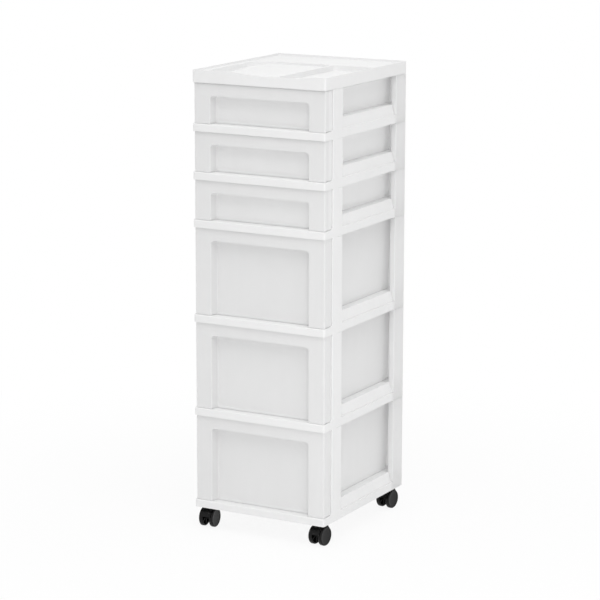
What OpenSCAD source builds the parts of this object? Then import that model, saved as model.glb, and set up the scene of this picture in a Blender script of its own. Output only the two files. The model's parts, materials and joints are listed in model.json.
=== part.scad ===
// Plastic drawer tower: six stacked frames, three shallow and three deep drawers,
// an organizer top and four plug-in twin-wheel casters.
// Millimetres. +X is to the right, +Y to the back, +Z up.
// The origin is on the floor, under the middle of the tower.

/* [Tower] */
// Width over the frames
tower_w = 306; // [280:1:340]
// Depth from the front lips to the back
tower_d = 357; // [330:1:400]
// Height of a shallow tier, from seam to seam
shallow_pitch = 99; // [85:1:130]
// Height of a deep tier, from seam to seam
deep_pitch = 198; // [150:1:240]
// Height of the organizer top
top_h = 26; // [23:0.5:32]
// Floor to the underside of the bottom frame
ride_h = 46; // [45:0.5:60]

/* [Frames] */
// Wall of the moulded frames
frame_wall = 2.4; // [1.8:0.1:3]
// Radius of the frames' upright corners
corner_r = 4; // [3:0.5:12]
// Radius along the posts' outer edges
edge_r = 1.5; // [0.8:0.1:2.2]
// Height of the deck that the drawer slides on
lip_h = 17; // [14:0.5:22]
// How far the lip's top falls towards its front edge
lip_fall = 1; // [0.5:0.25:4]
// Length of the lip's falling top
lip_run = 18; // [10:1:28]
// Radius of the lip's front edge
lip_edge = 2.5; // [1:0.25:4]
// How far the lip stands ahead of the posts
lip_d = 34; // [30:1:44]
// Front post, front to back
front_post_d = 41; // [34:1:52]
// Rear post, front to back
rear_post_d = 46; // [38:1:60]
// Posts, across
post_t = 12; // [10:0.5:16]
// Width of the rear posts' return across the back
return_w = 40; // [30:1:60]
// Height of the side and rear curbs
curb_h = 38; // [30:1:46]
// Width of the side curbs at the seam
curb_w = 28; // [26:0.5:34]
// How far a side curb's outer face leans inwards at its top
curb_lean = 10; // [6:0.5:14]
// Upright edge below the leaning face
curb_foot = 2; // [1:0.5:4]
// Depth of the rear curb
rear_curb_d = 16; // [14:0.5:24]
// Thickness of the ribs under the deck
rib_t = 1.8; // [1.2:0.1:2.4]
// Height of the spigots that locate the next frame
spigot_h = 8; // [5:0.5:12]
// Clearance round a spigot
spigot_gap = 0.3; // [0.2:0.05:0.5]
// Height of the shadow line under each seam
seam_h = 1.6; // [1:0.1:2.4]
// Depth of the shadow line under each seam
seam_in = 0.8; // [0.4:0.1:1.2]
// Radius of the cove where the lip runs up into the post
cove_r = 8; // [5:0.5:12]

/* [Drawers] */
// Wall of the moulded drawers
drawer_wall = 1.8; // [1.4:0.1:2.4]
// Lip showing ahead of a drawer front
front_set = 4; // [2:0.5:8]
// Lip showing beside a drawer front
front_side = 2; // [1.5:0.5:8]
// Gap between a drawer front's underside and the lip below it
front_low_gap = 0.8; // [0.5:0.1:4]
// Thickness of the foot along the front's lower edge, which hides that gap
foot_t = 3; // [2:0.5:5]
// Gap between a drawer front and the seam above it
front_top_gap = 0.8; // [0.6:0.1:4]
// Radius of the drawer front's upright edges
front_r = 2.5; // [2:0.5:5]
// Width of the stile beside the pull recess
stile_w = 36; // [26:1:50]
// Height of the rail above the pull recess
rail_h = 24.5; // [18:0.5:30]
// Depth of the pull recess
recess_d = 16; // [12:0.5:20]
// How far the recess's sides slope in
recess_slope = 8; // [5:0.5:16]
// Radius of the recess's top corners
recess_r = 8; // [3:0.5:10]
// Height of the flare at the foot of the recess
flare_h = 8; // [5:0.5:12]
// Reach of the flare at the foot of the recess
flare_d = 4; // [2:0.5:6]
// Gap between a drawer and the side curbs' top edges
side_gap = 0.8; // [0.6:0.1:3]
// Gap under a drawer, behind a closed one and behind its front
slide_gap = 0.3; // [0.2:0.05:0.6]
// Draft of the drawer's walls in degrees
draft = 1.5; // [0.5:0.25:2]
// Radius of the drawer's upright corners
box_r = 7; // [5:0.5:18]
// Drop of a drawer's rim below the seam above it
rim_drop = 6; // [5.5:0.5:20]
// Width of a drawer's rim
rim_w = 4; // [2.5:0.5:6]
// Thickness of a drawer's rim
rim_t = 2; // [1.4:0.2:3]
// Travel of a drawer up to its stop
travel = 240; // [180:5:255]
// Width of a drawer's stop lug
lug_w = 14; // [8:1:24]
// Thickness of a drawer's stop lug
lug_t = 3; // [2:0.5:5]
// Middle to middle of a drawer's two stop lugs
lug_span = 80; // [40:5:140]
// How far a stop rib hangs below its seam
stop_h = 4; // [3:0.5:4.5]
// Gap above a stop lug
lug_gap = 1.2; // [0.8:0.1:2]

/* [Organizer top] */
// Height of the set-back step that it stands on
step_h = 1.5; // [0.8:0.1:2]
// Rim standing above the shelf
rim_h = 4; // [2:0.5:5]
// Wall of the rim
rim_wall = 3; // [2.6:0.1:4]
// Wall of the pockets
pocket_wall = 2; // [1.4:0.1:2.6]
// Underside of the pockets above the seam
pocket_clear = 9; // [3:0.5:10]
// Depth of the pockets, front to back
pocket_d = 238; // [150:2:260]
// Border between the pockets and the tower's sides
pocket_side = 16; // [15.5:0.5:24]
// Width of the side pocket
side_pocket_w = 93; // [40:1:120]
// Width of the bridge between the pockets
bridge_w = 8; // [6:0.5:14]
// Radius of the main pocket's back left corner
sweep_r = 55; // [20:5:80]
// Radius of the pockets' other corners
pocket_r = 9; // [6:0.5:14]
// Depth left at the back of the main pocket's scoop
scoop_back = 5; // [3:0.5:7]
// Length of the main pocket's rising scoop
scoop_l = 120; // [50:5:140]
// Length of the dip in the front rim
dip_w = 190; // [100:5:220]
// Distance of the dip's middle to the right of the tower's middle
dip_x = 36; // [0:2:36]
// Depth of the dip in the front rim
dip_h = 5; // [3:0.5:7]

/* [Casters] */
// Wheel diameter
wheel_d = 40; // [34:0.5:41]
// Wheel width
wheel_w = 8.6; // [7:0.2:11]
// Distance between a caster's two wheels
wheel_gap = 14.8; // [14:0.2:18]
// Distance of the axle behind the stem
trail = 19; // [17:0.5:21]
// Axle diameter
axle_d = 5; // [4:0.25:6]
// Stem diameter in the socket
stem_d = 8; // [7.5:0.25:9]
// Stem diameter in the housing
pivot_d = 7; // [6:0.25:7.5]
// Length of stem in the socket
plug_l = 28; // [20:1:30]
// Wall of the sockets
socket_wall = 3.4; // [2.4:0.2:3.6]
// Distance of the stems from the tower's sides
stem_in_x = 20; // [18:0.5:22]
// Distance of the front stems behind the posts' front faces
stem_front = 9; // [8.5:0.5:14]
// Distance of the rear stems from the back
stem_rear = 9; // [8.5:0.5:18]
// Radial clearance of a turning fit
run_gap = 0.06; // [0.03:0.01:0.1]
// Turn of the front left caster in degrees
turn_front_left = 3; // [-180:1:180]
// Turn of the front right caster in degrees
turn_front_right = -6; // [-180:1:180]
// Turn of the rear left caster in degrees
turn_rear_left = 4; // [-180:1:180]
// Turn of the rear right caster in degrees
turn_rear_right = -6; // [-180:1:180]

/* [Hidden] */
$fn = 48;
hull_fn = 32;

// Overshoot of cuts, and the thin slices that hulls are made from
over = 1;
slice = 0.01;
// Smallest radius inside a wall
inner_r = 0.4;

white = "whitesmoke";
pearl = "gainsboro";
black = "dimgray";
steel = "silver";

// Tiers from the top down, and the height of each tier's seam
pitches = [shallow_pitch, shallow_pitch, shallow_pitch, deep_pitch, deep_pitch, deep_pitch];
function seam_z(tier) =
    tier == len(pitches) ? ride_h : seam_z(tier + 1) + pitches[tier];

// Frame stations
x_side = tower_w/2;
x_post = x_side - post_t;
x_guide = x_side - curb_w;
y_front = -tower_d/2;
y_back = tower_d/2;
y_post = y_front + lip_d;
y_jamb_front = y_post + front_post_d;
y_jamb_rear = y_back - rear_post_d;
y_curb = y_back - rear_curb_d;

// Drawer stations, above the drawer's own seam
x_front = x_side - front_side;
y_face = y_front + front_set;
front_t = lip_d - front_set - slide_gap;
z_front = lip_h + front_low_gap;
z_floor = lip_h + slide_gap;
lip_slant = lip_fall/(lip_run - lip_edge);
z_foot = z_floor - lip_slant*(lip_run - front_set - foot_t);
curb_rise = (curb_h - z_floor)*tan(draft);
x_box = x_guide - side_gap - curb_rise;
y_box = y_curb - slide_gap - curb_rise;
x_recess = x_front - stile_w;
y_recess = y_face + recess_d;
function box_grow(pitch) = (pitch - rim_drop - z_floor)*tan(draft);

// Stops: a lug on the drawer's rear rim meets a rib under the frame above
lug_back_of_rim = 1;
function y_lug(pitch) = y_box + box_grow(pitch) - lug_back_of_rim - lug_t;
function y_stop(pitch) = y_lug(pitch) - travel - slide_gap;
stop_rib_w = lug_span + 3*lug_w;

// Organizer top stations, above its own seam
z_shelf = top_h - rim_h;
z_pocket = pocket_clear + pocket_wall;
x_pocket = x_side - pocket_side;
x_bridge = x_pocket - side_pocket_w;
y_pocket = y_front + rim_wall;
dip_r = (dip_w*dip_w/4 + dip_h*dip_h)/(2*dip_h);
scoop_rise = z_shelf - scoop_back - z_pocket;
scoop_r = (scoop_l*scoop_l + scoop_rise*scoop_rise)/(2*scoop_rise);

// Caster stations, above the floor and from the stem's axis
wheel_r = wheel_d/2;
axle_r = axle_d/2;
x_stem = x_side - stem_in_x;
y_stem_front = y_post + stem_front;
y_stem_rear = y_back - stem_rear;
collar_h = 2;
housing_gap = 0.4;
housing_top = ride_h - collar_h - housing_gap;
housing_wall = 1.8;
web_w = wheel_gap - 1.6;
boss_r = 6.6;
boss_h = 22;
boss_low = housing_top - boss_h;
hub_r = axle_r + 2.4;
fender_gap = 0.8;
fender_t = 1.4;
fender_r = wheel_r + fender_gap + fender_t;
fender_w = wheel_gap + wheel_w;
fender_low = 5;
socket_gap = 0.15;
socket_r = stem_d/2 + socket_gap;
socket_top = plug_l + 2;
collar_r = 6.8;
head_h = 2.4;
head_r = pivot_d/2 + 1;
head_drop = 17;
head_top = housing_top - head_drop;
head_gap = 0.3;
ring_h = 6;
ring_bite = 0.05;
ring_slot = 1.2;
ring_up = plug_l - 14;
groove_depth = 0.7;
wheel_face = 1.6;
tread_t = 2.6;
tread_r = 2;
spoke_t = 1.4;
snap_depth = 0.4;
snap_w = 1.6;
snap_in = 4.4;
snap_gap = 0.15;
axle_l = wheel_gap + 2*(wheel_w - wheel_face) - 0.8;
snap_z = axle_l/2 - snap_in + snap_w/2 - wheel_gap/2;

// ---- Shared shapes ----

module box_of(x0, x1, y0, y1, z0, z1)
    translate([x0, y0, z0]) cube([x1 - x0, y1 - y0, z1 - z0]);

module both_sides() {
    children();
    mirror([1, 0, 0]) children();
}

// Extrudes a profile drawn in X and Z along Y
module along_y(y0, y1)
    translate([0, y1, 0]) rotate([90, 0, 0]) linear_extrude(y1 - y0) children();

// Extrudes a profile drawn in Y and Z along X
module along_x(x0, x1)
    translate([x0, 0, 0]) rotate([90, 0, 90]) linear_extrude(x1 - x0) children();

module soft_rect(x0, x1, y0, y1, r) {
    translate([x0 + r, y0]) square([x1 - x0 - 2*r, y1 - y0]);
    translate([x0, y0 + r]) square([x1 - x0, y1 - y0 - 2*r]);
    for (x = [x0 + r, x1 - r], y = [y0 + r, y1 - r])
        translate([x, y]) circle(r);
}

module footprint(inset = 0)
    soft_rect(-x_side + inset, x_side - inset, y_front + inset, y_back - inset,
              max(corner_r - inset, inner_r));

module footprint_slab(inset, z0, z1)
    translate([0, 0, z0]) linear_extrude(z1 - z0) footprint(inset);

// ---- Frames ----

// The leaning side curb between the posts
module curb_profile(wall = 0, z_low = 0)
    polygon([
        [x_guide + wall, z_low],
        [x_side - wall, z_low],
        [x_side - wall, curb_foot],
        [x_side - curb_lean - wall, curb_h - wall],
        [x_guide + wall, curb_h - wall],
    ]);

module frame_outer(pitch) {
    footprint_slab(0, 0, lip_h);
    both_sides() {
        along_y(y_jamb_front, y_jamb_rear) curb_profile();
        box_of(x_guide, x_side - edge_r, y_post, y_jamb_front, 0, curb_h);
        linear_extrude(pitch)
            soft_rect(x_post, x_side, y_post, y_jamb_front, edge_r);
    }
    intersection() {
        footprint_slab(0, 0, pitch);
        union() {
            box_of(-x_side, x_side, y_curb, y_back, 0, curb_h);
            both_sides() {
                box_of(x_guide, x_side - edge_r, y_jamb_rear, y_back, 0, curb_h);
                box_of(x_side - return_w, x_side, y_back - frame_wall, y_back, 0, pitch);
                linear_extrude(pitch)
                    soft_rect(x_post, x_side, y_jamb_rear, y_back + corner_r, edge_r);
            }
        }
    }
}

// The frame is a shell, open below and on the posts' inner sides
module frame_hollows(pitch) {
    intersection() {
        footprint_slab(frame_wall, -over, pitch - frame_wall);
        union() {
            box_of(-x_side, x_side, y_front, y_post, -over, lip_h - lip_fall - frame_wall);
            box_of(-x_side, x_side, y_curb + frame_wall, y_back, -over, curb_h - frame_wall);
            both_sides() {
                for (y = [[y_post + frame_wall, y_jamb_front - frame_wall],
                          [y_jamb_rear + frame_wall, y_back]]) {
                    box_of(x_guide + frame_wall, x_side, y[0], y[1],
                           -over, curb_h - frame_wall);
                    box_of(x_post - over, x_side, y[0], y[1], curb_h, pitch);
                }
            }
        }
    }
    box_of(-x_guide, x_guide, y_post + frame_wall, y_curb, -over, lip_h - frame_wall);
    both_sides()
        along_y(y_jamb_front, y_jamb_rear) curb_profile(frame_wall, -over);
}

module spigots(pitch, inset, z0, z1)
    intersection() {
        footprint_slab(inset, pitch + z0, pitch + z1);
        both_sides()
            for (y = [[y_post, y_jamb_front], [y_jamb_rear, y_back]])
                box_of(x_post, x_side, y[0] + inset, y[1] - inset, 0, pitch + z1);
    }

module spigot_hollows(pitch) {
    inset = 2*frame_wall + spigot_gap;
    intersection() {
        footprint_slab(inset, pitch - 2*frame_wall, pitch + spigot_h - frame_wall);
        both_sides()
            for (y = [[y_post, y_jamb_front], [y_jamb_rear, y_back]])
                box_of(x_post - over, x_side, y[0] + inset, y[1] - inset,
                       0, pitch + spigot_h);
    }
}

// A shadow line round the top of the posts, under the next frame's edge
module seam_line(pitch)
    difference() {
        box_of(-x_side - over, x_side + over, y_jamb_front - front_post_d/2,
               y_back + over, pitch - seam_h, pitch);
        footprint_slab(seam_in, pitch - seam_h - over, pitch + over);
    }

// The lip's side edge runs up into the post in a cove, beside the drawer front
module lip_cove()
    along_x(x_side - min(frame_wall, front_side - slide_gap), x_side)
        difference() {
            translate([y_post - cove_r, lip_h - over]) square([cove_r + over, cove_r + over]);
            translate([y_post - cove_r, lip_h + cove_r]) circle(cove_r);
        }

// The lip's top falls a little towards its rounded front edge
module lip_slope() {
    z_edge = lip_h - lip_fall;
    along_x(-x_side - over, x_side + over) {
        polygon([
            [y_front - over, z_edge],
            [y_front + lip_edge, z_edge],
            [y_front + lip_run, lip_h],
            [y_front + lip_run, lip_h + over],
            [y_front - over, lip_h + over],
        ]);
        difference() {
            translate([y_front - over, z_edge - lip_edge])
                square([lip_edge + over, lip_edge + over/2]);
            translate([y_front + lip_edge, z_edge - lip_edge]) circle(lip_edge);
        }
    }
}

// Stops the drawer below, whose lugs reach up behind it
module stop_rib(pitch_below, z_top)
    box_of(-stop_rib_w/2, stop_rib_w/2, y_stop(pitch_below) - frame_wall,
           y_stop(pitch_below), -stop_h, z_top);

module deck_ribs() {
    z_low = lip_h/4;
    z_high = lip_h - frame_wall/2;
    for (i = [-1:1])
        box_of(i*x_guide/2 - rib_t/2, i*x_guide/2 + rib_t/2,
               y_post, y_curb + frame_wall, z_low, z_high);
    for (i = [1:3])
        box_of(-x_guide - over, x_guide + over,
               y_post + i*(y_curb - y_post)/4 - rib_t/2,
               y_post + i*(y_curb - y_post)/4 + rib_t/2, z_low, z_high);
    for (i = [-2:2])
        box_of(i*x_side/3 - rib_t/2, i*x_side/3 + rib_t/2,
               y_front + frame_wall/2, y_post + over, z_low, z_high - lip_fall);
}

module frame(pitch, pitch_below = 0) {
    difference() {
        union() {
            frame_outer(pitch);
            spigots(pitch, frame_wall + spigot_gap, -frame_wall, spigot_h);
        }
        frame_hollows(pitch);
        spigot_hollows(pitch);
        seam_line(pitch);
        lip_slope();
    }
    both_sides() lip_cove();
    deck_ribs();
    if (pitch_below > 0) stop_rib(pitch_below, lip_h - frame_wall/2);
}

// The bottom frame carries the caster sockets
module base_frame(pitch)
    difference() {
        union() {
            frame(pitch);
            for (at = stem_places())
                translate([at[0], at[1], 0]) cylinder(r = socket_r + socket_wall, h = socket_top + 2);
        }
        for (at = stem_places())
            translate([at[0], at[1], -over]) cylinder(r = socket_r, h = socket_top + over);
    }

module tier_frame(tier)
    color(white) translate([0, 0, seam_z(tier)])
        if (tier == len(pitches)) base_frame(pitches[tier - 1]);
        else frame(pitches[tier - 1], pitches[tier]);

// ---- Drawers ----

// One level of the drafted box, set in by a wall
module box_slice(z, grow, inset, back_inset)
    translate([0, 0, z]) linear_extrude(slice)
        soft_rect(-x_box - grow + inset, x_box + grow - inset,
                  y_face + drawer_wall/2, y_box + grow - back_inset,
                  box_r - inset, $fn = hull_fn);

module box_body(pitch, inset, z0, z1)
    hull() {
        box_slice(z0, (z0 - z_floor)*tan(draft), inset, inset);
        box_slice(z1 - slice, (z1 - z_floor)*tan(draft), inset, inset);
    }

module box_rim(pitch) {
    grow = box_grow(pitch);
    z = pitch - rim_drop - rim_t;
    translate([0, 0, z]) linear_extrude(rim_t)
        difference() {
            soft_rect(-x_box - grow - rim_w, x_box + grow + rim_w,
                      y_face + front_t/2, y_box + grow + rim_w, box_r + rim_w);
            soft_rect(-x_box - grow + drawer_wall/2, x_box + grow - drawer_wall/2,
                      y_face, y_box + grow - drawer_wall/2, box_r - drawer_wall/2);
        }
}

module front_slab(inset, z0, z1, y1)
    translate([0, 0, z0]) linear_extrude(z1 - z0)
        soft_rect(-x_front + inset, x_front - inset, y_face + inset, y1,
                  max(front_r - inset, inner_r));

// The drawer front, with a foot that reaches down to the lip
module front_block(pitch)
    difference() {
        front_slab(0, z_foot, pitch - front_top_gap, y_face + front_t);
        box_of(-x_side, x_side, y_face + foot_t, y_post, 0, z_front);
    }

// The drawer front is a shell, open at the back and below
module front_hollow(pitch)
    front_slab(drawer_wall, 0, pitch - front_top_gap - drawer_wall, y_face + 2*front_t);

// The pull recess: sloping sides, flat back, open at the foot
module recess(pitch, wall)
    hull()
        for (end = [[y_face - over, 0], [y_recess + wall, recess_slope]])
            along_slice(end[0])
                soft_rect(-x_recess + end[1] - wall, x_recess - end[1] + wall,
                          -2*recess_r, pitch - front_top_gap - rail_h + wall,
                          recess_r, $fn = hull_fn);

module along_slice(y)
    along_y(y - slice, y) children();

// A cove of small flats, kept along the foot of the recess's back
module foot_flare() {
    z_top = z_floor + drawer_wall/2 + flare_h;
    along_x(-x_side, x_side)
        polygon(concat(
            [[y_recess + over, z_top], [y_recess + over, 0], [y_recess - flare_d, 0]],
            [for (a = [0:15:90]) [y_recess - flare_d*(1 - sin(a)), z_top - flare_h*cos(a)]]));
}

module stop_lugs(pitch)
    both_sides()
        box_of(lug_span/2 - lug_w/2, lug_span/2 + lug_w/2, y_lug(pitch),
               y_lug(pitch) + lug_t, pitch - rim_drop - rim_t, pitch - lug_gap);

module drawer(pitch) {
    z_rim = pitch - rim_drop;
    difference() {
        union() {
            difference() {
                box_body(pitch, 0, z_floor, z_rim - rim_t/2);
                box_body(pitch, drawer_wall, z_floor + drawer_wall, z_rim + over);
            }
            difference() {
                front_block(pitch);
                front_hollow(pitch);
            }
            box_rim(pitch);
            stop_lugs(pitch);
            intersection() {
                recess(pitch, drawer_wall);
                box_of(-x_front, x_front, y_face, y_face + front_t,
                       z_floor, pitch - front_top_gap - drawer_wall/2);
            }
        }
        difference() {
            recess(pitch, 0);
            foot_flare();
        }
    }
}

module tier_drawer(tier)
    color(pearl) translate([0, 0, seam_z(tier)]) drawer(pitches[tier - 1]);

// ---- Organizer top ----

// A pocket's plan, grown by a wall, with its own radius on the back left corner
module pocket_plan(x0, x1, wall, r, r_back_left) {
    y0 = y_pocket - wall;
    y1 = y_pocket + pocket_d + wall;
    big = r_back_left + wall;
    difference() {
        soft_rect(x0 - wall, x1 + wall, y0, y1, r + wall);
        translate([x0 - wall - over, y1 - big]) square([big + over, big + over]);
    }
    translate([x0 - wall + big, y1 - big]) circle(big, $fn = 96);
}

module pocket_space(wall, x0, x1, r_back_left)
    translate([0, 0, z_pocket - wall]) linear_extrude(top_h)
        pocket_plan(x0, x1, wall, pocket_r, r_back_left);

// The main pocket's floor rises to the back in a scoop
module scoop_space(wall) {
    y_scoop = y_pocket + pocket_d - scoop_l;
    along_x(-x_side, x_side) {
        translate([y_front, 0]) square([y_scoop - y_front, 2*top_h]);
        translate([y_scoop, z_pocket + scoop_r]) circle(scoop_r + wall, $fn = 180);
    }
}

module pockets(wall) {
    pocket_space(wall, x_bridge, x_pocket, pocket_r);
    intersection() {
        pocket_space(wall, -x_pocket, x_bridge - bridge_w, sweep_r);
        scoop_space(wall);
    }
}

// Ribs under the shelf, behind the pockets
module shelf_ribs() {
    y0 = y_pocket + pocket_d;
    for (x = [-x_side/2, 0, x_side/2])
        box_of(x - rib_t/2, x + rib_t/2, y0, y_back - frame_wall/2,
               top_h/2, z_shelf - pocket_wall/2);
    box_of(-x_side + over, x_side - over, (y0 + y_back)/2 - rib_t/2,
           (y0 + y_back)/2 + rib_t/2, top_h/2, z_shelf - pocket_wall/2);
}

module organizer_top()
    color(white) translate([0, 0, seam_z(0)]) {
        difference() {
            union() {
                footprint_slab(seam_in, 0, top_h);
                footprint_slab(0, step_h, top_h);
            }
            footprint_slab(rim_wall, z_shelf, top_h + over);
            pockets(0);
            difference() {
                footprint_slab(frame_wall, -over, z_shelf - pocket_wall);
                pockets(pocket_wall);
            }
            translate([dip_x, y_front - over, top_h - dip_h + dip_r])
                rotate([-90, 0, 0]) cylinder(r = dip_r, h = rim_wall + over, $fn = 360);
        }
        shelf_ribs();
        difference() {
            stop_rib(pitches[0], z_shelf - pocket_wall/2);
            pockets(pocket_wall/2);
        }
    }

// ---- Casters ----

function stem_places() = [
    for (y = [y_stem_front, y_stem_rear], side = [-1, 1]) [side*x_stem, y]
];

// Sets a caster's piece at its stem, turned with the caster
module at_stem(place, turn = 0)
    translate([place[0], place[1], 0]) rotate(turn) children();

module at_axle()
    translate([0, -trail, wheel_r]) children();

// The steel stem: plug, collar, pivot and head
module caster_stem()
    color(steel) rotate_extrude() {
        difference() {
            translate([0, ride_h - collar_h]) square([stem_d/2, plug_l + collar_h]);
            translate([stem_d/2 - groove_depth, ride_h + ring_up - ring_slot/2])
                square([stem_d, ring_h + ring_slot]);
        }
        translate([0, ride_h - collar_h]) square([collar_r, collar_h]);
        translate([0, head_top]) square([pivot_d/2, ride_h - head_top]);
        translate([0, head_top - head_h]) square([head_r, head_h]);
    }

// The split spring ring that grips the socket
module caster_grip_ring()
    color(steel) translate([0, 0, ride_h + ring_up])
        difference() {
            cylinder(r = socket_r + ring_bite, h = ring_h);
            translate([0, 0, -over]) cylinder(r = stem_d/2 - groove_depth, h = ring_h + 2*over);
            translate([-ring_slot/2, 0, -over]) cube([ring_slot, stem_d, ring_h + 2*over]);
        }

// The hood's outline, seen from the side
module hood_profile(inset)
    difference() {
        union() {
            translate([-trail, wheel_r]) circle(fender_r - inset, $fn = 96);
            polygon([
                [-trail, wheel_r - hub_r],
                [boss_r - inset, boss_low],
                [boss_r - inset, housing_top - inset],
                [-trail, housing_top - inset],
            ]);
        }
        translate([-trail - 2*fender_r, -fender_r])
            square([2*fender_r, wheel_r + fender_low + fender_r]);
        polygon([
            [-trail, -fender_r],
            [2*fender_r, -fender_r],
            [2*fender_r, boss_low],
            [boss_r, boss_low],
            [-trail, wheel_r - hub_r],
        ]);
    }

// The hood's outline, seen from above, round at the stem
module hood_plan(inset) {
    translate([-web_w/2 + inset, -trail - fender_r])
        square([web_w - 2*inset, trail + fender_r]);
    circle(web_w/2 - inset);
}

module hood_body(inset)
    intersection() {
        along_x(-web_w/2, web_w/2) hood_profile(inset);
        linear_extrude(housing_top + over) hood_plan(inset);
    }

module fender()
    along_x(-fender_w/2, fender_w/2)
        translate([-trail, wheel_r])
            difference() {
                circle(fender_r, $fn = 96);
                circle(fender_r - fender_t, $fn = 96);
                translate([-2*fender_r, -2*fender_r])
                    square([4*fender_r, 2*fender_r + fender_low]);
            }

module caster_housing()
    color(black)
        difference() {
            union() {
                difference() {
                    hood_body(0);
                    translate([0, 0, -over/2]) hood_body(housing_wall);
                }
                bore_at(boss_r, boss_low, housing_top);
                at_axle() rotate([0, 90, 0]) cylinder(r = hub_r, h = web_w, center = true);
                fender();
            }
            bore_at(pivot_d/2 + run_gap, head_top - over, housing_top + over);
            bore_at(head_r + head_gap, head_top - head_h - head_gap, head_top + head_gap);
            at_axle() rotate([0, 90, 0]) cylinder(r = axle_r, h = 2*web_w, center = true);
        }

module bore_at(r, z0, z1)
    translate([0, 0, z0]) cylinder(r = r, h = z1 - z0);

// The axle, with a snap groove for each wheel
module caster_axle()
    color(steel) at_axle() rotate([0, 90, 0]) rotate_extrude()
        difference() {
            translate([0, -axle_l/2]) square([axle_r, axle_l]);
            for (side = [-1, 1])
                translate([axle_r - snap_depth, side*(snap_z + wheel_gap/2) - snap_w/2])
                    square([axle_r, snap_w]);
        }

// A wheel: closed outer face, rounded tread, hub and spokes open to the inside
module wheel_profile() {
    difference() {
        union() {
            translate([0, tread_r]) square([wheel_r, wheel_w - 2*tread_r]);
            square([wheel_r - tread_r, wheel_w]);
            for (z = [tread_r, wheel_w - tread_r])
                translate([wheel_r - tread_r, z]) circle(tread_r);
        }
        translate([-wheel_r, -wheel_w]) square([wheel_r, 3*wheel_w]);
        translate([axle_r + 2, -over])
            square([wheel_r - tread_t - axle_r - 2, wheel_w - wheel_face + over]);
        translate([0, wheel_w]) scale([1, 0.06]) circle(wheel_r - tread_t - 1);
    }
}

module wheel_solid() {
    difference() {
        union() {
            rotate_extrude($fn = 96) wheel_profile();
            for (i = [0:5])
                rotate(i*60) translate([axle_r + 1, -spoke_t/2, 1])
                    cube([wheel_r - tread_t/2 - axle_r - 1, spoke_t, wheel_w - wheel_face - 0.6]);
        }
        translate([0, 0, -over]) cylinder(r = axle_r + run_gap, h = wheel_w - wheel_face + over);
    }
    // the bead that snaps into the axle's groove
    rotate_extrude()
        translate([axle_r - snap_depth + snap_gap, snap_z - snap_w/2 + snap_gap])
            square([snap_depth + over/2, snap_w - 2*snap_gap]);
}

module caster_wheel(side)
    color(black) at_axle() rotate([0, side*90, 0])
        translate([0, 0, wheel_gap/2]) wheel_solid();

tier_frame(1);  // frame_1
tier_frame(2);  // frame_2
tier_frame(3);  // frame_3
tier_frame(4);  // frame_4
tier_frame(5);  // frame_5
tier_frame(6);  // frame_6
tier_drawer(1);  // drawer_1
tier_drawer(2);  // drawer_2
tier_drawer(3);  // drawer_3
tier_drawer(4);  // drawer_4
tier_drawer(5);  // drawer_5
tier_drawer(6);  // drawer_6
organizer_top();
at_stem(stem_places()[0], turn_front_left) caster_stem();  // front_left_stem
at_stem(stem_places()[0], turn_front_left) caster_grip_ring();  // front_left_grip_ring
at_stem(stem_places()[0], turn_front_left) caster_housing();  // front_left_housing
at_stem(stem_places()[0], turn_front_left) caster_axle();  // front_left_axle
at_stem(stem_places()[0], turn_front_left) caster_wheel(-1);  // front_left_outer_wheel
at_stem(stem_places()[0], turn_front_left) caster_wheel(1);  // front_left_inner_wheel
at_stem(stem_places()[1], turn_front_right) caster_stem();  // front_right_stem
at_stem(stem_places()[1], turn_front_right) caster_grip_ring();  // front_right_grip_ring
at_stem(stem_places()[1], turn_front_right) caster_housing();  // front_right_housing
at_stem(stem_places()[1], turn_front_right) caster_axle();  // front_right_axle
at_stem(stem_places()[1], turn_front_right) caster_wheel(1);  // front_right_outer_wheel
at_stem(stem_places()[1], turn_front_right) caster_wheel(-1);  // front_right_inner_wheel
at_stem(stem_places()[2], turn_rear_left) caster_stem();  // rear_left_stem
at_stem(stem_places()[2], turn_rear_left) caster_grip_ring();  // rear_left_grip_ring
at_stem(stem_places()[2], turn_rear_left) caster_housing();  // rear_left_housing
at_stem(stem_places()[2], turn_rear_left) caster_axle();  // rear_left_axle
at_stem(stem_places()[2], turn_rear_left) caster_wheel(-1);  // rear_left_outer_wheel
at_stem(stem_places()[2], turn_rear_left) caster_wheel(1);  // rear_left_inner_wheel
at_stem(stem_places()[3], turn_rear_right) caster_stem();  // rear_right_stem
at_stem(stem_places()[3], turn_rear_right) caster_grip_ring();  // rear_right_grip_ring
at_stem(stem_places()[3], turn_rear_right) caster_housing();  // rear_right_housing
at_stem(stem_places()[3], turn_rear_right) caster_axle();  // rear_right_axle
at_stem(stem_places()[3], turn_rear_right) caster_wheel(1);  // rear_right_outer_wheel
at_stem(stem_places()[3], turn_rear_right) caster_wheel(-1);  // rear_right_inner_wheel
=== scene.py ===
"""Looks for the plastic drawer tower: finishes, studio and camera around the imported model."""

import json
import math

import bpy
from mathutils import Matrix, Vector

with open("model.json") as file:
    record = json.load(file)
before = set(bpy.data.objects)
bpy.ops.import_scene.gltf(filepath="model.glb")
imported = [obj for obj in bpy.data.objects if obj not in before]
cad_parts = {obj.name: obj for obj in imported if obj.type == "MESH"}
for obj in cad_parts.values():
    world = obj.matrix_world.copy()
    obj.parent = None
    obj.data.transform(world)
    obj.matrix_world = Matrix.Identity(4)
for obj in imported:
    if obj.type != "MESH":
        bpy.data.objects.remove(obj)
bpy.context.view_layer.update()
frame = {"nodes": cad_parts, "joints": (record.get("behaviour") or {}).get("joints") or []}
nodes = frame["nodes"]
joints = {joint["name"]: joint for joint in frame["joints"]}

PLACES = ("front_left", "front_right", "rear_left", "rear_right")
SIDES = ("outer", "inner")
TIERS = range(1, 7)
SHALLOW_TIERS = 3


# ---- Shader maths ----

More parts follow.
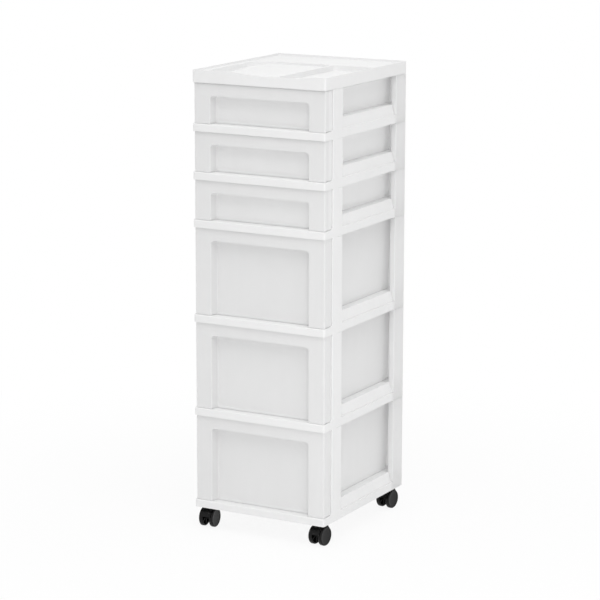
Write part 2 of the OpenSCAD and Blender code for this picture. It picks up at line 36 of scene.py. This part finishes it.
class Value:
    """A socket of a finish's node tree, worked on with the usual operators."""

    def __init__(self, finish, socket):
        self.finish = finish
        self.socket = socket

    def _math(self, operation, *terms):
        return self.finish.node(
            "ShaderNodeMath", {"operation": operation}, dict(enumerate(terms)))

    def __add__(self, other):
        return self._math("ADD", self, other)

    def __radd__(self, other):
        return self._math("ADD", other, self)

    def __sub__(self, other):
        return self._math("SUBTRACT", self, other)

    def __rsub__(self, other):
        return self._math("SUBTRACT", other, self)

    def __mul__(self, other):
        return self._math("MULTIPLY", self, other)

    def __rmul__(self, other):
        return self._math("MULTIPLY", other, self)

    def __pow__(self, other):
        return self._math("POWER", self, other)

    def most(self, other):
        return self._math("MAXIMUM", self, other)

    def between(self, low, high):
        """0 below low, 1 above high, and smooth between them."""
        return self.finish.node(
            "ShaderNodeMapRange", {"interpolation_type": "SMOOTHSTEP"},
            {"Value": self, "From Min": low, "From Max": high})


class Finish:
    """A material or the world, and the nodes that make it."""

    def __init__(self, name, kind=bpy.data.materials):
        self.block = kind.new(name)
        self.block.use_nodes = True
        self.tree = self.block.node_tree
        self.tree.nodes.clear()

    def node(self, kind, settings=None, inputs=None, output=0):
        """Adds a node: its settings first, then its sockets' values or links."""
        made = self.tree.nodes.new(kind)
        for key, value in (settings or {}).items():
            setattr(made, key, value)
        for key, value in (inputs or {}).items():
            if isinstance(value, Value):
                self.tree.links.new(value.socket, made.inputs[key])
            else:
                made.inputs[key].default_value = value
        return Value(self, made.outputs[output])

    def place(self, centre=(0, 0, 0), turn=(0, 0, 0), stretch=(1, 1, 1)):
        """The object's own coordinates, from a centre."""
        here = self.node("ShaderNodeTexCoord", output="Object")
        moved = self.node("ShaderNodeVectorMath", {"operation": "SUBTRACT"},
                          {0: here, 1: centre})
        return self.node("ShaderNodeMapping", {}, {
            "Vector": moved, "Rotation": turn, "Scale": stretch})

    def part(self, vector, axis):
        return self.node("ShaderNodeSeparateXYZ", {}, {0: vector}, output=axis)

    def noise(self, where, scale, detail=2.0, rough=0.5):
        return self.node("ShaderNodeTexNoise", {}, {
            "Vector": where, "Scale": scale, "Detail": detail, "Roughness": rough})

    def blend(self, share, first, second):
        """first where share is 0, second where it is 1."""
        low, high = (
            (*colour, 1) if isinstance(colour, tuple) else colour
            for colour in (first, second))
        return self.node("ShaderNodeMix", {"data_type": "RGBA"},
                         {"Factor": share, 6: low, 7: high}, output=2)

    def bump(self, height, depth, strength=1.0):
        return self.node("ShaderNodeBump", {}, {
            "Height": height, "Distance": depth, "Strength": strength})

    def seen(self):
        """1 on rays from the camera or off gloss and glass, 0 on the light's own bounces."""
        camera, glossy, through = (
            self.node("ShaderNodeLightPath", output=f"Is {ray} Ray")
            for ray in ("Camera", "Glossy", "Transmission"))
        return camera.most(glossy).most(through)

    def mix(self, share, first, second):
        """The shader first where share is 0, second where it is 1."""
        return self.node("ShaderNodeMixShader", {}, {0: share, 1: first, 2: second})

    def shell(self, sockets, thin=None):
        """Ends the tree in a Principled BSDF with these sockets.

        thin is the share of light that walls let by."""
        solid = self.node("ShaderNodeBsdfPrincipled", {}, sockets)
        if thin is not None:
            milk = self.node("ShaderNodeBsdfTranslucent", {}, {"Color": MILK})
            solid = self.mix(thin, solid, milk)
        self.end(solid)

    def end(self, shader, kind="ShaderNodeOutputMaterial"):
        out = self.tree.nodes.new(kind)
        self.tree.links.new(shader.socket, out.inputs["Surface"])


# ---- Finishes ----

def grey(tone):
    return (tone, tone, tone)


MILK = (0.97, 0.97, 0.97, 1)
# Texture scales are in features per metre, and a low stretch in Z draws them out upwards
STREAK_STRETCH = (1, 1, 0.12)
STREAKS, SPARK, ORANGE_PEEL = 60.0, 2200.0, 240.0
CLOUD_EDGES = (0.3, 0.7)
MOULD_DEPTH, MOULD_STRENGTH = 0.00012, 0.35


def moulded_skin(finish, here, cloud_scale, rough):
    """The share of the second tone in the clouds, and the skin that moulding leaves.

    The skin has flow streaks, a fine spark texture and a slight orange peel."""
    clouds = finish.noise(here, cloud_scale, 3.0)
    streaks = finish.noise(finish.place(stretch=STREAK_STRETCH), STREAKS)
    grain = finish.noise(here, SPARK, 1.0)
    orange_peel = finish.noise(here, ORANGE_PEEL, 1.0)
    share = (clouds * 0.65 + streaks * 0.35).between(*CLOUD_EDGES)
    return share, {
        "Roughness": rough + (streaks - 0.5) * 0.10 + (grain - 0.5) * 0.08,
        "Normal": finish.bump(grain * 0.35 + orange_peel, MOULD_DEPTH, MOULD_STRENGTH),
    }


# Where the rear posts begin, the lighter tone painted on their walls as painted light, and the
# share of light that they pass
REAR_POST_Y, REAR_POST_PAINTED_LIGHT_TONE, THIN_SHARE = 0.1325, 0.93, 0.36


def moulded_plastic(name, tones, rough, specular, thin_from=None):
    """Satin injection-moulded plastic, of two tones in soft clouds.

    Past the Y of thin_from its walls are thin enough to pass light; there they also get a
    lighter tone, painted light for the light that comes through them."""
    finish = Finish(name)
    here = finish.place()
    share, skin = moulded_skin(finish, here, 11.0, rough)
    colour = finish.blend(share, *map(grey, tones))
    thin = None
    if thin_from is not None:
        thin_wall_and_painted_light = finish.part(here, "Y").between(thin_from - 0.004, thin_from + 0.002)
        # Painted light: the rear posts' walls get a lighter tone, standing for light that comes
        # through them
        colour = finish.blend(thin_wall_and_painted_light, colour, grey(REAR_POST_PAINTED_LIGHT_TONE))
        thin = thin_wall_and_painted_light * THIN_SHARE
    finish.shell({"Base Color": colour, "Specular IOR Level": specular, **skin}, thin)
    return finish.block


WHITE_LOOK = {"tones": (0.866, 0.848), "rough": 0.46, "specular": 0.42}
WHITE = moulded_plastic("white_polypropylene", **WHITE_LOOK)
# The frames' copy of the white plastic, with painted light on the rear posts' walls
FRAME_WHITE_PAINTED_LIGHT = moulded_plastic(
    "white_frame_polypropylene_painted_light", **WHITE_LOOK, thin_from=REAR_POST_Y)
NYLON = moulded_plastic("black_nylon", (0.004, 0.006), 0.44, 0.17)

# How far in the surfaces of a drawer's front lie, and half the width of its recess
FACE_Y, RECESS_Y, FRONT_BACK_Y = -0.1745, -0.1585, -0.1448
RECESS_HALF_WIDTH = 0.1153
# From where to where, along Y, each region of a drawer takes over from the one before it
SET_BACK = (FACE_Y + 0.0005, FACE_Y + 0.0025)
PANEL = (RECESS_Y - 0.003, RECESS_Y - 0.001)
WALL = (FRONT_BACK_Y - 0.001, FRONT_BACK_Y + 0.003)
# The same across the recess's edge, from the middle outwards
RECESS_EDGE = (RECESS_HALF_WIDTH - 0.0004, RECESS_HALF_WIDTH + 0.0004)

# The face's own tone, and the recess's side slopes painted darker: painted shade
FACE_TONE, SLOPE_PAINTED_SHADE_TONE = 0.80, 0.72
# Panel and wall of a drawer, painted lighter than the face: painted light for light that passes
# through the milky walls; the deep drawers' darker pair is painted shade, as less light comes
# back out of a deep one
SHALLOW_PAINTED_LIGHT_TONES, DEEP_PAINTED_SHADE_TONES = (0.84, 0.91), (0.795, 0.815)
CLOUD_FALL = 0.015


def pearl_plastic(name, panel_painted_light_tone, wall_painted_light_tone):
    """Milky plastic: a hollow front with a set-back panel, and thin walls behind it. The
    recess's side slopes are painted darker as painted shade, and the panel and walls take their
    own tones, painted light and shade for light passed through the plastic.
    """
    finish = Finish(name)
    here = finish.place()
    across = finish.part(here, "X")
    along = finish.part(here, "Y")
    panel_painted_light_mask = along.between(*PANEL)
    outside = across.most(0 - across).between(*RECESS_EDGE)
    # Painted shade: the recess's side slopes get a darker tone
    slope_painted_shade = along.between(*SET_BACK) * (1 - panel_painted_light_mask) * (1 - outside)
    share, skin = moulded_skin(finish, here, 9.0, 0.42)

    def cloudy(tone):
        return finish.blend(share, grey(tone), grey(tone - CLOUD_FALL))

    # Painted light: the panel and, below, the walls take the given lighter or darker tones
    flat_with_painted_light = finish.blend(panel_painted_light_mask, cloudy(FACE_TONE), cloudy(panel_painted_light_tone))
    front_with_painted_light_and_shade = finish.blend(slope_painted_shade, flat_with_painted_light, grey(SLOPE_PAINTED_SHADE_TONE))
    finish.shell({
        "Base Color": finish.blend(along.between(*WALL), front_with_painted_light_and_shade, cloudy(wall_painted_light_tone)),
        "Subsurface Weight": 0.2,
        "Subsurface Radius": (1.0, 1.0, 1.0),
        "Subsurface Scale": 0.002,
        "Specular IOR Level": 0.45,
        **skin,
    })
    return finish.block


# Shallow and deep drawers get copies of one plastic with different painted light and shade; the
# deep copy is darker, painted shade
SHALLOW_PAINTED_LIGHT = pearl_plastic("pearl_polypropylene", *SHALLOW_PAINTED_LIGHT_TONES)
DEEP_PAINTED_SHADE = pearl_plastic("pearl_polypropylene_deep_painted_shade", *DEEP_PAINTED_SHADE_TONES)


def plated_steel():
    """Bright plating over drawn wire, a little clouded."""
    finish = Finish("plated_steel")
    drawn = finish.noise(finish.place(stretch=(1, 1, 0.08)), 1800.0)
    cloud = finish.noise(finish.place(), 130.0)
    finish.shell({
        "Base Color": finish.blend(cloud, (0.60, 0.60, 0.61), (0.50, 0.50, 0.52)),
        "Metallic": 1.0,
        "Roughness": 0.26 + drawn * 0.14,
        "Normal": finish.bump(drawn, 0.00004, 0.4),
    })
    return finish.block


STEEL = plated_steel()

# Distances from the axle between which a wheel's satin face gives way to its scuffed tread
TREAD = (0.0182, 0.0196)


def wheel_nylon(place, side):
    """Black nylon, turned about the wheel's own axle: scuffed tread and a satin face."""
    joint = joints[f"{place}_{side}_wheel_spin"]
    centre = tuple(joint["pos_m"])
    axis = Vector(joint["axis"])
    turn = (0, 0, -math.atan2(axis.y, axis.x))
    finish = Finish(f"black_wheel_{place}_{side}")
    here = finish.place(centre, turn)
    across = finish.part(here, "Y")
    up = finish.part(here, "Z")
    tread = ((across * across + up * up) ** 0.5).between(*TREAD)
    dust = finish.noise(here, 160.0, 4.0, 0.7)
    scuffs = finish.noise(finish.place(centre, turn, (6, 1, 1)), 420.0)
    grain = finish.noise(here, 2400.0, 1.0)
    worn = tread * dust.between(0.45, 0.75)
    finish.shell({
        "Base Color": finish.blend(worn, grey(0.005), grey(0.013)),
        "Roughness": 0.38 + worn * 0.25 + (scuffs - 0.5) * 0.1,
        "Normal": finish.bump(grain * 0.4 + scuffs * tread, 0.0001, 0.4),
        "Specular IOR Level": 0.18,
    })
    return finish.block


def paint(node_name, material):
    """Gives a carried-over solid its finish."""
    slots = nodes[node_name].data.materials
    slots.clear()
    slots.append(material)


paint("organizer_top", WHITE)
for tier in TIERS:
    paint(f"frame_{tier}", FRAME_WHITE_PAINTED_LIGHT)
    paint(f"drawer_{tier}", SHALLOW_PAINTED_LIGHT if tier <= SHALLOW_TIERS else DEEP_PAINTED_SHADE)
for place in PLACES:
    paint(f"{place}_housing", NYLON)
    for piece in ("stem", "grip_ring", "axle"):
        paint(f"{place}_{piece}", STEEL)
    for side in SIDES:
        paint(f"{place}_{side}_wheel", wheel_nylon(place, side))


# ---- Studio ----

BLANK = (1, 1, 1, 1)
# The world's strength where it is looked at, and as the fill light
SEEN, FILL = 1.0, 0.69
# The blank share of the floor where the tower stands, and the distances over which it fills up
NEAR_BLANK = 0.9
FLOOR_FADE = (0.3, 1.3)
FLOOR_REACH = 30.0


def pale_floor():
    """A white sweep: its shadow is kept faint round the tower, and it is blank further off."""
    finish = Finish("studio_floor")
    here = finish.place()
    specks = finish.noise(here, 3.0, 1.0)
    plain = finish.node("ShaderNodeBsdfPrincipled", {}, {
        "Base Color": finish.blend(specks, grey(0.93), grey(0.92)),
        "Roughness": 0.9,
        "Specular IOR Level": 0.1,
    })
    blank = finish.node("ShaderNodeEmission", {}, {"Color": BLANK, "Strength": 1.0})
    distance = finish.node("ShaderNodeVectorMath", {"operation": "LENGTH"}, {0: here},
                           output="Value")
    blank_share = distance.between(*FLOOR_FADE) * (1 - NEAR_BLANK) + NEAR_BLANK
    finish.end(finish.mix(finish.seen() * blank_share, plain, blank))
    return finish.block


def build_floor():
    mesh = bpy.data.meshes.new("floor")
    corners = [(x * FLOOR_REACH, y * FLOOR_REACH, 0)
               for x, y in ((-1, -1), (1, -1), (1, 1), (-1, 1))]
    mesh.from_pydata(corners, [], [(0, 1, 2, 3)])
    mesh.materials.append(pale_floor())
    floor = bpy.data.objects.new("floor", mesh)
    bpy.context.scene.collection.objects.link(floor)


def build_world():
    """White where the camera, gloss or glass looks at it, a plain fill light elsewhere."""
    sky = Finish("studio", bpy.data.worlds)
    bpy.context.scene.world = sky.block
    strength = FILL + sky.seen() * (SEEN - FILL)
    sky.end(sky.node("ShaderNodeBackground", {}, {"Color": BLANK, "Strength": strength}),
            "ShaderNodeOutputWorld")


# Name, place, what it is turned to, side and power
SOFTBOXES = (
    ("overhead_softbox", (0.9, -1.2, 3.2), (0.5, -0.8, 0.0), 2.2, 36),
    ("window_softbox", (2.2, -0.6, 0.7), (0.0, 0.1, 0.5), 1.2, 1.8),
    ("low_softbox", (0.9, -1.3, 0.15), (0.0, 0.0, 0.15), 0.5, 3.0),
)


def build_softbox(name, at, aim, size, power):
    lamp = bpy.data.lights.new(name, "AREA")
    lamp.shape = "SQUARE"
    lamp.size = size
    lamp.energy = power
    holder = bpy.data.objects.new(name, lamp)
    bpy.context.scene.collection.objects.link(holder)
    holder.location = at
    holder.rotation_euler = (Vector(aim) - Vector(at)).to_track_quat("-Z", "Y").to_euler()


build_floor()
build_world()
for softbox in SOFTBOXES:
    build_softbox(*softbox)


# ---- Camera ----

CAMERA_AT = (2.4058, -4.3660, 1.5271)
# Azimuth from the front, elevation and roll, in degrees
CAMERA_ANGLES = (28.8729, 11.9659, 0.1042)
SENSOR_WIDTH, LENS = 36.0, 146.092


def build_camera():
    azimuth, elevation, roll = map(math.radians, CAMERA_ANGLES)
    back = Vector((math.sin(azimuth) * math.cos(elevation),
                   -math.cos(azimuth) * math.cos(elevation), math.sin(elevation)))
    level = Vector((math.cos(azimuth), math.sin(azimuth), 0))
    up = back.cross(level)
    across = level * math.cos(roll) + up * math.sin(roll)
    rise = up * math.cos(roll) - level * math.sin(roll)
    lens = bpy.data.cameras.new("camera")
    lens.sensor_width = SENSOR_WIDTH
    lens.lens = LENS
    lens.clip_end = 100.0
    camera = bpy.data.objects.new("camera", lens)
    turn = Matrix((across, rise, back)).transposed().to_4x4()
    camera.matrix_world = Matrix.Translation(CAMERA_AT) @ turn
    bpy.context.scene.collection.objects.link(camera)
    bpy.context.scene.camera = camera


build_camera()
bpy.context.scene.view_settings.view_transform = "Standard"
# White walls pass light on many times
bpy.context.scene.cycles.max_bounces = 32
bpy.context.scene.cycles.diffuse_bounces = 24
